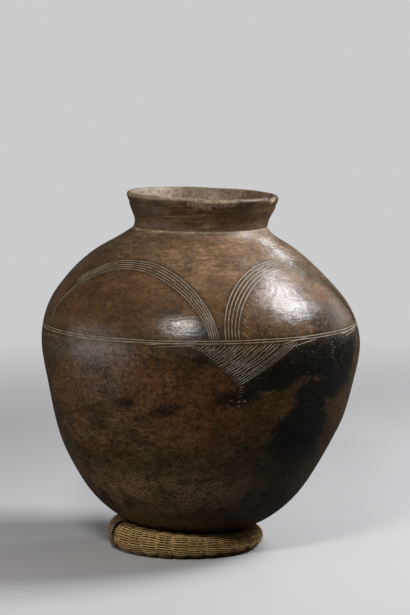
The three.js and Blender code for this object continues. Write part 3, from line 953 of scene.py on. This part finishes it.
    def broken(self, inside: Points, uneven: float) -> list[Points]:
        """Breaks a row of the hatching into strokes, each of which runs a little past the next one's start.

        Args:
            inside: The numbers of the row's points, 1 mm apart.
            uneven: How far the breaks are shifted, as a share of the row.

        Returns:
            The numbers of each stroke's points.
        """
        if len(inside) > 42:
            first, second = (int(len(inside) * (share + uneven)) for share in (0.34, 0.70))
            return [inside[:first + 4], inside[first - 3:second + 4], inside[second - 3:]]
        if len(inside) > 20:
            first = int(len(inside) * (0.48 + uneven))
            return [inside[:first + 3], inside[first - 2:]]
        return [inside]

    def tail_strokes(self) -> list[Points]:
        """Draws the long flat strokes that run out from the upper corners of the hatched triangles."""
        strokes = []
        for number, centre in enumerate(self.triangles):
            for (start, low), (end, high) in self.tails:
                sway = 0.4 * waver((start, number, 6), 5.0)
                middle = (0.4 * start + 0.6 * end, 0.35 * low + 0.65 * high + 0.5)
                line = smooth_line([(start, low + sway), middle, (end, high + sway)], 30)
                strokes.append(np.stack([centre + line[:, 0], line[:, 1] / 1000], -1))
        return strokes

    def dots(self) -> Object:
        """Returns the small pressed dots under the tip of each hatched triangle."""
        spots = []
        for centre in self.triangles:
            for across, height in self.dot_places:
                place = self.on_wall(np.array([centre + across]), np.array([height / 1000]), 0.0002)[0]
                bpy.ops.mesh.primitive_ico_sphere_add(subdivisions=3, radius=self.dot_radius, location=place)
                bpy.ops.transform.resize(value=(1.35, 1.35, 0.70), center_override=tuple(place))
                spots.append(bpy.context.object)
        pick(*spots)
        bpy.ops.object.join()
        bpy.ops.object.transform_apply(location=True, rotation=True, scale=True)
        return bpy.context.object

    def dress(self, jar: Object) -> None:
        """Gives the jar its clay and its place in the part."""
        jar.data.materials.clear()
        jar.data.materials.append(ClayFinish().material())
        jar.data.polygons.foreach_set("material_index", [0] * len(jar.data.polygons))
        pick(jar)
        bpy.ops.object.shade_smooth_by_angle(angle=math.radians(38))
        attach(jar, Body.POT.value)
        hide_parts("clay_pot")


@dataclass(frozen=True)
class CaneFinish:
    """Split cane: pale outside skin, darker and browner towards the edges of each strand."""

    name: str
    pale: Colour
    middle: Colour
    deep: Colour
    rough: float = 0.55

    def material(self) -> Material:
        """Returns the cane's material, streaked along each strand."""
        sheet = Sheet(self.name)
        along, across, tone = (sheet.noted(name) for name in ("along", "across", "tone"))
        apart = sheet.times(tone, 9.0)
        strand = sheet.node("ShaderNodeCombineXYZ", {0: along, 1: across, 2: apart}).outputs[0]
        lengthways = sheet.node("ShaderNodeMapping", {"Vector": strand, "Scale": (0.2, 0.012, 1)}).outputs[0]
        fibres = sheet.grain(0.006, 5, 0.7, lengthways)
        value = sheet.sum("ADD", sheet.times(tone, 0.60), sheet.times(fibres, 0.32))
        value = sheet.sum("ADD", value, sheet.times(sheet.grain(0.016, 4, 0.6), 0.44))
        colour = sheet.ramp(value, [(0.38, self.deep), (0.62, self.middle), (0.86, self.pale)])
        # Each strand is painted darker towards its edges.
        edge = sheet.between(sheet.sum("ABSOLUTE", across), 0.55, 1.0, (0.0, 0.55))
        colour = sheet.mix(edge, colour, self.deep)
        normal = sheet.bumps(fibres, 0.00025)
        rough = sheet.sum("MULTIPLY_ADD", fibres, 0.25, self.rough - 0.12)
        return sheet.finish(colour, rough, normal, Specular_IOR_Level=0.35)


@dataclass
class Ring:
    """The woven ring: lengthwise strands over and under flat hoops, round a core of grass."""

    jar: Jar
    radius: float = 0.095
    half_width: float = 0.0182
    shift: float = -0.015
    room: float = 0.0012
    seam: float = math.radians(200)
    seam_half: float = 0.0068
    hoops: int = 27
    strands: int = 62
    weavers: int = 26
    steps: int = 9
    section_steps: int = 96
    lash_steps: int = 32
    over: float = 0.00095
    hoop_depth: float = 0.0031
    core_depth: float = 0.0058
    strand_thickness: float = 0.0014
    strand_fill: float = 0.90
    strand_lead: float = 0.0052
    strand_floor: float = 0.00095
    hoop_width: float = 0.0050
    hoop_thickness: float = 0.0012
    far_offset: float = -0.0080
    far_depth: float = 0.0010
    far_width: float = 0.0130
    far_thickness: float = 0.0018
    lash_reach: float = 0.0068
    lash_rise: float = 0.0010
    lash_half: tuple[float, float] = (0.00085, 0.00045)
    lash_floor: float = 0.0007
    lashings: int = 34
    near_offset: float = 0.0030
    near_depth: float = 0.0052
    ply: float = 0.00100
    ply_twists: int = 13
    cut_azimuth: float = math.radians(259)
    cut_turns: tuple[float, float] = (-56, -17)
    cut_depths: tuple[float, float] = (0.0006, -0.0012)
    cut_half: tuple[float, float] = (0.0011, 0.0005)

    def __post_init__(self) -> None:
        """Works out the ring's height all round, pressed down to fit under the jar."""
        self.azimuths = np.linspace(-math.pi, 3 * math.pi, 1441)
        line = self.jar.outline
        across = np.linspace(-self.half_width, self.half_width, 25)[1:-1, None]
        reach = self.radius + across
        far = np.hypot(self.shift + reach * np.cos(self.azimuths), reach * np.sin(self.azimuths))
        room = np.interp(far, line[:60, 0], line[:60, 1]) - self.room
        self.halves = (room / (1 + np.sqrt(1 - (across / self.half_width) ** 2))).min(axis=0)
        self.middle_x = float(self.jar.lean(np.array([2 * self.half_width]))[0]) + self.shift
        self.lead = self.seam_half / self.radius
        self.pitch = (2 * math.pi - 2 * self.lead) / (self.hoops + 1)

    def on_tube(self, azimuth: Points, turn: Points, depth: Points) -> tuple[Points, Points]:
        """Finds places on the tube.

        Args:
            azimuth: Where round the ring, in radians from +X.
            turn: Where round the section, in equal steps of length from its outer side.
            depth: How far below the outer surface, in metres.

        Returns:
            The places and the outward directions there.
        """
        middle = np.interp(azimuth, self.azimuths, self.halves)
        wide, tall = self.half_width - depth, middle - depth
        flattening = (wide**2 - tall**2) / (4 * (wide**2 + tall**2))
        angle = turn + flattening * np.sin(2 * turn)
        reach = self.radius + wide * np.cos(angle)
        place = np.stack([self.middle_x + reach * np.cos(azimuth), reach * np.sin(azimuth),
                          middle + tall * np.sin(angle)], -1)
        slope = np.stack([np.cos(angle) / wide, np.sin(angle) / tall], -1)
        slope /= np.linalg.norm(slope, axis=-1)[..., None]
        outward = np.stack([slope[..., 0] * np.cos(azimuth), slope[..., 0] * np.sin(azimuth), slope[..., 1]],
                           -1)
        return place, outward

    def straight_strip(self, name: str, steps: int, sides: int, closed: bool) -> Object:
        """Models a straight strand with a round section of radius 1 from x 0 to 1.

        Args:
            name: The name of the new piece.
            steps: How many lengths it is divided into.
            sides: How many faces go round it.
            closed: True for a loop, whose two ends meet and stay open here.

        Returns:
            The strand.
        """
        bpy.ops.object.select_all(action="DESELECT")
        bpy.ops.mesh.primitive_circle_add(vertices=sides, radius=1.0, rotation=(0, math.pi / 2, 0))
        strip = bpy.context.object
        strip.name = strip.data.name = name
        bpy.ops.object.transform_apply(location=True, rotation=True, scale=True)
        bpy.ops.object.mode_set(mode="EDIT")
        bpy.ops.mesh.select_all(action="SELECT")
        bpy.ops.mesh.extrude_region_move(TRANSFORM_OT_translate={"value": (1 / steps, 0, 0)})
        bpy.ops.object.mode_set(mode="OBJECT")
        row = strip.modifiers.new("row", "ARRAY")
        row.count = steps
        row.use_relative_offset = False
        row.use_constant_offset = True
        row.constant_offset_displace = (1 / steps, 0, 0)
        row.use_merge_vertices = True
        row.merge_threshold = 0.2 / steps
        bpy.ops.object.modifier_apply(modifier=row.name)
        if not closed:
            bpy.ops.object.mode_set(mode="EDIT")
            bpy.ops.mesh.select_mode(type="EDGE")
            bpy.ops.mesh.select_all(action="DESELECT")
            bpy.ops.mesh.select_non_manifold()
            bpy.ops.mesh.edge_face_add()
            bpy.ops.mesh.select_mode(type="VERT")
            bpy.ops.object.mode_set(mode="OBJECT")
        close_up(strip)
        return strip

    def copy_of(self, master: Object, name: str) -> Object:
        """Returns a copy of a piece with its own mesh."""
        piece = master.copy()
        piece.data = master.data.copy()
        piece.name = piece.data.name = name
        bpy.context.scene.collection.objects.link(piece)
        return piece

    def lay(self, piece: Object, line: Points, outward: Points, wide: Points | float, thick: Points | float,
            tone: float, closed: bool = False) -> None:
        """Bends a straight strand to follow a line and notes where each vertex lies on it.

        Args:
            piece: A copy of the straight strand.
            line: Places that the strand passes, one for each step.
            outward: The direction that its flat side faces at each place.
            wide: Half its width, all along or at each place.
            thick: Half its thickness, all along or at each place.
            tone: How pale this strand is, from 0 to 1.
            closed: True for a loop.
        """
        rows = places_of(piece)
        station = np.rint(rows[:, 0] * (len(line) - 1)).astype(int)
        if closed:
            ring = line[:-1]
            ways = np.roll(ring, -1, axis=0) - np.roll(ring, 1, axis=0)
            ways = np.vstack([ways, ways[:1]])
        else:
            ways = np.gradient(line, axis=0)
        ways /= np.linalg.norm(ways, axis=1)[:, None]
        up = outward - (outward * ways).sum(1)[:, None] * ways
        up /= np.linalg.norm(up, axis=1)[:, None]
        side = np.cross(ways, up)
        run = np.concatenate([[0], np.cumsum(np.linalg.norm(np.diff(line, axis=0), axis=1))])
        wide, thick = (np.broadcast_to(half, len(line)) for half in (wide, thick))
        new = (line[station] + side[station] * (rows[:, 1] * wide[station])[:, None]
               + up[station] * (rows[:, 2] * thick[station])[:, None])
        piece.data.vertices.foreach_set("co", new.ravel())
        piece.data.update()
        note(piece, along=run[station], across=rows[:, 1], tone=np.full(len(rows), tone))
        close_up(piece, 0.00001 if closed else 0.0)
        bpy.ops.object.shade_smooth_by_angle(angle=math.radians(50))

    def lengthwise(self, master: Object, number: int) -> Object:
        """Lays one lengthwise strand over and under the hoops from one side of the seam to the other."""
        piece = self.copy_of(master, f"strand_{number + 1:02d}")
        steps = (self.hoops + 1) * self.steps
        spot = np.linspace(0, self.hoops + 1, steps + 1)
        turn = -math.pi / 2 + 2 * math.pi * number / self.strands
        reach = self.radius + (self.half_width - self.hoop_depth) * math.cos(turn)
        lead = math.asin(self.strand_lead / reach)
        ends = np.clip(np.minimum(spot, self.hoops + 1 - spot), 0, 1)
        start, end = self.seam + lead, self.seam + 2 * math.pi - lead
        azimuth = self.seam + self.lead + self.pitch * spot
        azimuth = np.where(spot < 1, start + (self.seam + self.lead + self.pitch - start) * ends, azimuth)
        last = self.seam + self.lead + self.pitch * self.hoops
        azimuth = np.where(spot > self.hoops, end - (end - last) * ends, azimuth)
        step = self.hoop_depth - self.over
        weave = np.cos(math.pi * (spot + number))
        depth = self.hoop_depth - step * np.sign(weave) * np.abs(weave) ** 0.8 * np.clip(ends + 0.35, 0, 1)
        sway = np.array([waver((0.4 * s, number, 0), 1.0, 2.0) for s in spot])
        place, outward = self.on_tube(azimuth, turn + sway * 0.035, depth)
        place[:, 2] = np.maximum(place[:, 2], self.strand_floor)
        wide = 0.5 * self.girth(azimuth, depth) / self.strands * (self.strand_fill + 0.08 * np.roll(sway, 7))
        thick = self.strand_thickness / 2 * (1 + 0.08 * sway)
        tone = 0.5 + 0.5 * waver((number * 0.61, 0.3, 0.7), 0.37, 9.0)
        self.lay(piece, place, outward, wide, thick, min(max(tone, 0), 1))
        return piece

    def girth(self, azimuth: Points, depth: Points) -> Points:
        """Returns the length round the tube's section at some azimuths and depths."""
        wide = self.half_width - depth
        tall = np.interp(azimuth, self.azimuths, self.halves) - depth
        return math.pi * (3 * (wide + tall) - np.sqrt((3 * wide + tall) * (wide + 3 * tall)))

    def round_section(self, master: Object, name: str, azimuth: float, depth: float, wide: float,
                      thick: float, tone: float) -> Object:
        """Lays one loop round the tube's section.

        Args:
            master: The straight loop to copy.
            name: The name of the new piece.
            azimuth: Where round the ring it lies, in radians from +X.
            depth: How far below the outer surface, in metres.
            wide: Its width.
            thick: Its thickness.
            tone: How pale it is, from 0 to 1.

        Returns:
            The loop.
        """
        piece = self.copy_of(master, name)
        turn = np.linspace(0, 2 * math.pi, self.section_steps + 1)
        sway = np.array([waver((math.cos(t), math.sin(t), azimuth), 0.8, 1.0) for t in turn])
        place, outward = self.on_tube(azimuth + 0.006 * sway, turn, depth)
        self.lay(piece, place, outward, wide / 2, thick / 2, tone, True)
        return piece

    def near_edge(self, master: Object) -> Object:
        """Lays the turned edge on the near side of the seam: two plies twisted together, deep in the gap."""
        plies = []
        for ply in range(2):
            piece = self.copy_of(master, f"turned_edge_b_ply_{ply}")
            turn = np.linspace(0, 2 * math.pi, self.section_steps + 1)
            twist = self.ply_twists * turn + math.pi * ply
            offset = self.near_offset + self.ply * 0.72 * np.cos(twist)
            depth = self.near_depth - self.ply * 0.72 * np.sin(twist)
            place, outward = self.on_tube(self.seam + offset / self.radius, turn, depth)
            self.lay(piece, place, outward, self.ply, self.ply, 0.10 + 0.2 * ply, True)
            plies.append(piece)
        pick(*plies)
        bpy.ops.object.join()
        joined = bpy.context.object
        joined.name = joined.data.name = "turned_edge_b"
        return joined

    def lashing(self, master: Object, number: int, turn: float) -> Object:
        """Lays one turn of the cane that is lashed round the far edge of the seam."""
        piece = self.copy_of(master, f"seam_lashing_{number:02d}")
        way = np.linspace(0, 2 * math.pi, self.lash_steps + 1)
        reach = self.far_offset + self.lash_reach * np.sign(np.cos(way)) * np.abs(np.cos(way)) ** 0.6
        depth = self.far_depth - self.lash_rise * np.sign(np.sin(way)) * np.abs(np.sin(way)) ** 0.6
        place, _ = self.on_tube(self.seam + reach / self.radius, turn, depth)
        place[:, 2] = np.maximum(place[:, 2], self.lash_floor)
        centre, _ = self.on_tube(self.seam + self.far_offset / self.radius, turn, self.far_depth)
        tone = 0.5 + 0.5 * waver((0.7 * number, 0.2, 0), 0.9)
        self.lay(piece, place, place - centre, *self.lash_half, tone, True)
        return piece

    def cut_end(self) -> Object:
        """Models the end of a strand that pokes out low on the front of the ring."""
        piece = self.straight_strip("cut_cane_end", 12, 8, False)
        turn = np.radians(np.linspace(*self.cut_turns, 13))
        place, outward = self.on_tube(self.cut_azimuth, turn, np.linspace(*self.cut_depths, 13))
        self.lay(piece, place, outward, *self.cut_half, 1.0)
        return piece

    def core(self) -> Object:
        """Models the grass core: a torus pressed to the tube's section."""
        bpy.ops.object.select_all(action="DESELECT")
        bpy.ops.mesh.primitive_torus_add(major_segments=220, minor_segments=28, major_radius=self.radius,
                                         minor_radius=self.half_width)
        core = bpy.context.object
        core.name = core.data.name = "grass_filling"
        rows = places_of(core)
        azimuth = np.arctan2(rows[:, 1], rows[:, 0])
        turn = np.arctan2(rows[:, 2], np.hypot(rows[:, 0], rows[:, 1]) - self.radius)
        ridge = np.array([waver((8 * math.cos(t), 8 * math.sin(t), a), 0.9) for t, a in zip(turn, azimuth)])
        place, _ = self.on_tube(azimuth, turn, self.core_depth + 0.0003 * ridge)
        core.data.vertices.foreach_set("co", place.ravel())
        core.data.update()
        note(core, along=azimuth * self.radius, across=turn * 3, tone=np.full(len(turn), 0.4))
        pick(core)
        bpy.ops.object.shade_smooth()
        return core

    def build(self) -> None:
        """Builds and dresses every piece of the ring."""
        cane_look, hoop_look, twist_look, lash_look, grass_look = (CaneFinish(*look).material() for look in (
            ("split_cane", (0.88, 0.62, 0.270), (0.52, 0.330, 0.115), (0.15, 0.080, 0.022)),
            ("hoop_cane", (0.44, 0.29, 0.100), (0.27, 0.165, 0.052), (0.10, 0.055, 0.015)),
            ("twisted_cane", (0.30, 0.22, 0.155), (0.19, 0.130, 0.085), (0.07, 0.045, 0.028), 0.65),
            ("lashing_cane", (0.50, 0.40, 0.290), (0.36, 0.270, 0.190), (0.16, 0.110, 0.070), 0.6),
            ("dry_grass", (0.08, 0.055, 0.03), (0.04, 0.027, 0.014), (0.02, 0.013, 0.007), 0.8)))
        strip = self.straight_strip("strip_master", (self.hoops + 1) * self.steps, 8, False)
        loop = self.straight_strip("loop_master", self.section_steps, 8, True)
        stands_for = {round(number * self.strands / self.weavers): number + 1
                      for number in range(self.weavers)}
        for number in range(self.strands):
            piece = self.lengthwise(strip, number)
            weaver = stands_for.get(number)
            self.dress(piece, cane_look, Slot.CANE, *([f"weaver_{weaver:02d}"] if weaver else []))
        for number in range(1, self.hoops + 1):
            azimuth = self.seam + self.lead + self.pitch * number
            tone = 0.5 + 0.4 * waver((number * 0.43, 0, 0), 0.5)
            piece = self.round_section(loop, f"flat_hoop_{number:02d}", azimuth, self.hoop_depth + 0.0001,
                                       self.hoop_width, self.hoop_thickness, tone)
            self.dress(piece, hoop_look, Slot.CANE, f"hoop_{number:02d}")
        far_edge = self.round_section(loop, "turned_edge_a", self.seam + self.far_offset / self.radius,
                                      self.far_depth, self.far_width, self.far_thickness, 0.25)
        self.dress(far_edge, twist_look, Slot.TWISTED, "end_border_a")
        self.dress(self.near_edge(loop), twist_look, Slot.TWISTED, "end_border_b")
        coil = self.straight_strip("coil_master", self.lash_steps, 6, True)
        ties = {4: "seam_tie_01", 0: "seam_tie_02", 30: "seam_tie_03"}
        for number in range(self.lashings):
            piece = self.lashing(coil, number + 1, 2 * math.pi * number / self.lashings)
            self.dress(piece, lash_look, Slot.TWISTED, *([ties[number]] if number in ties else []))
        self.dress(self.core(), grass_look, Slot.GRASS, "grass_core")
        self.dress(self.cut_end(), cane_look, Slot.CANE)
        for master in (strip, loop, coil):
            bpy.data.objects.remove(master)

    def dress(self, piece: Object, look: Material, slot: Slot, *nodes: str) -> None:
        """Gives a piece of the ring its finish and its place in the part."""
        piece.data.materials.append(look)
        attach(piece, Body.RING.value)
        if nodes:
            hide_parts(*nodes)


@dataclass(frozen=True)
class Lamp:
    """A soft lamp that points at the middle of the jar."""

    name: str
    way: tuple[float, float, float]
    distance: float
    size: tuple[float, float]
    power: float
    colour: Colour = (1.0, 0.965, 0.93)


@dataclass
class Studio:
    """The camera, the pale floor and the lamps."""

    aim: tuple[float, float, float] = (0.007, 0.0, 0.347)
    distance: float = 4.0
    pitch: float = math.radians(7)
    lens: float = 163.05
    floor_radius: float = 4.0
    floor_fade: tuple[float, float] = (0.7, 2.4)
    floor_pale: Colour = (0.62, 0.62, 0.63)
    floor_dim: Colour = (0.032, 0.031, 0.030)
    back_pale: Colour = (0.60, 0.60, 0.61)
    back_dim: Colour = (0.042, 0.041, 0.040)
    gloss_share: float = 0.04
    lamps: tuple[Lamp, ...] = (
        Lamp("key_lamp", (0.70, 0.10, 0.71), 1.9, (0.80, 0.74), 37.0, (1.0, 1.0, 1.03)),
        Lamp("strip_lamp", (0.45, 0.67, 0.59), 2.0, (0.40, 0.10), 3.3, (0.97, 1.0, 1.04)),
        Lamp("front_lamp", (-0.19, -0.77, 0.61), 2.1, (0.42, 0.19), 17.5),
        Lamp("edge_panel", (0.75, 0.59, 0.27), 1.6, (0.80, 0.45), 1.6),
        Lamp("side_panel", (-0.965, -0.26, 0.07), 1.0, (0.80, 0.44), 1.95),
    )

    def camera(self) -> None:
        """Sets up the camera that the photograph was taken with."""
        data = bpy.data.cameras.new("camera")
        data.lens = self.lens
        camera = bpy.data.objects.new("camera", data)
        x, y, z = self.aim
        back, up = self.distance * math.cos(self.pitch), self.distance * math.sin(self.pitch)
        camera.location = (x, y - back, z + up)
        camera.rotation_euler = (math.pi / 2 - self.pitch, 0, 0)
        bpy.context.scene.collection.objects.link(camera)
        bpy.context.scene.camera = camera

    def light(self) -> None:
        """Hangs the lamps."""
        middle = Vector((0, 0, 0.27))
        for lamp in self.lamps:
            data = bpy.data.lights.new(lamp.name, "AREA")
            data.shape = "RECTANGLE"
            data.size, data.size_y = lamp.size
            data.energy = lamp.power
            data.color = lamp.colour
            way = Vector(lamp.way).normalized()
            piece = bpy.data.objects.new(lamp.name, data)
            piece.location = middle + way * lamp.distance
            piece.rotation_euler = way.to_track_quat("Z", "Y").to_euler()
            piece.visible_camera = False
            bpy.context.scene.collection.objects.link(piece)

    def pale_or_dim(self, sheet: Sheet, dim: Colour, pale: Colour) -> NodeSocket:
        """Returns a colour that is pale for the camera and in part for gloss, and dim for other light."""
        rays = sheet.node("ShaderNodeLightPath", {}).outputs
        glossy = sheet.times(rays["Is Glossy Ray"], self.gloss_share)
        seen = sheet.sum("MAXIMUM", rays["Is Camera Ray"], glossy)
        seen = sheet.sum("MAXIMUM", seen, rays["Is Transmission Ray"])
        return sheet.mix(seen, dim, pale)

    def floor(self) -> None:
        """Lays the pale floor, which fades into the backdrop far from the part."""
        bpy.ops.object.select_all(action="DESELECT")
        bpy.ops.mesh.primitive_circle_add(vertices=96, radius=self.floor_radius, fill_type="NGON")
        floor = bpy.context.object
        floor.name = floor.data.name = "studio_floor"
        sheet = Sheet("studio_floor")
        tone = self.pale_or_dim(sheet, self.floor_dim, self.floor_pale)
        paint = sheet.node("ShaderNodeBsdfDiffuse", {"Color": tone}).outputs[0]
        clear = sheet.node("ShaderNodeBsdfTransparent", {}).outputs[0]
        far = sheet.node("ShaderNodeVectorMath", {0: sheet.place}, operation="LENGTH").outputs["Value"]
        away = sheet.between(far, *self.floor_fade)
        sheet.close(sheet.node("ShaderNodeMixShader", {0: away, 1: paint, 2: clear}).outputs[0])
        floor.data.materials.append(sheet.material)

    def backdrop(self) -> None:
        """Paints the surroundings pale for the camera and dim for the light that they give."""
        world = bpy.data.worlds.new("studio")
        world.use_nodes = True
        sheet = Sheet("studio", world.node_tree)
        tone = self.pale_or_dim(sheet, self.back_dim, self.back_pale)
        sheet.close(sheet.node("ShaderNodeBackground", {"Color": tone}).outputs[0], "ShaderNodeOutputWorld")
        bpy.context.scene.world = world

    def build(self) -> None:
        """Sets up everything round the part."""
        bpy.context.scene.view_settings.view_transform = "Standard"
        self.camera()
        self.light()
        self.floor()
        self.backdrop()


def main() -> None:
    """Builds the jar, the ring and the studio in order."""
    logging.basicConfig(level=logging.INFO, format="%(message)s")
    jar = Jar()
    wall = jar.build()
    jar.dress(wall)
    LOG.info("jar: %d faces", len(wall.data.polygons))
    Ring(jar).build()
    LOG.info("ring: built")
    Studio().build()
    LOG.info("studio: built")


if __name__ == "__main__":
    main()
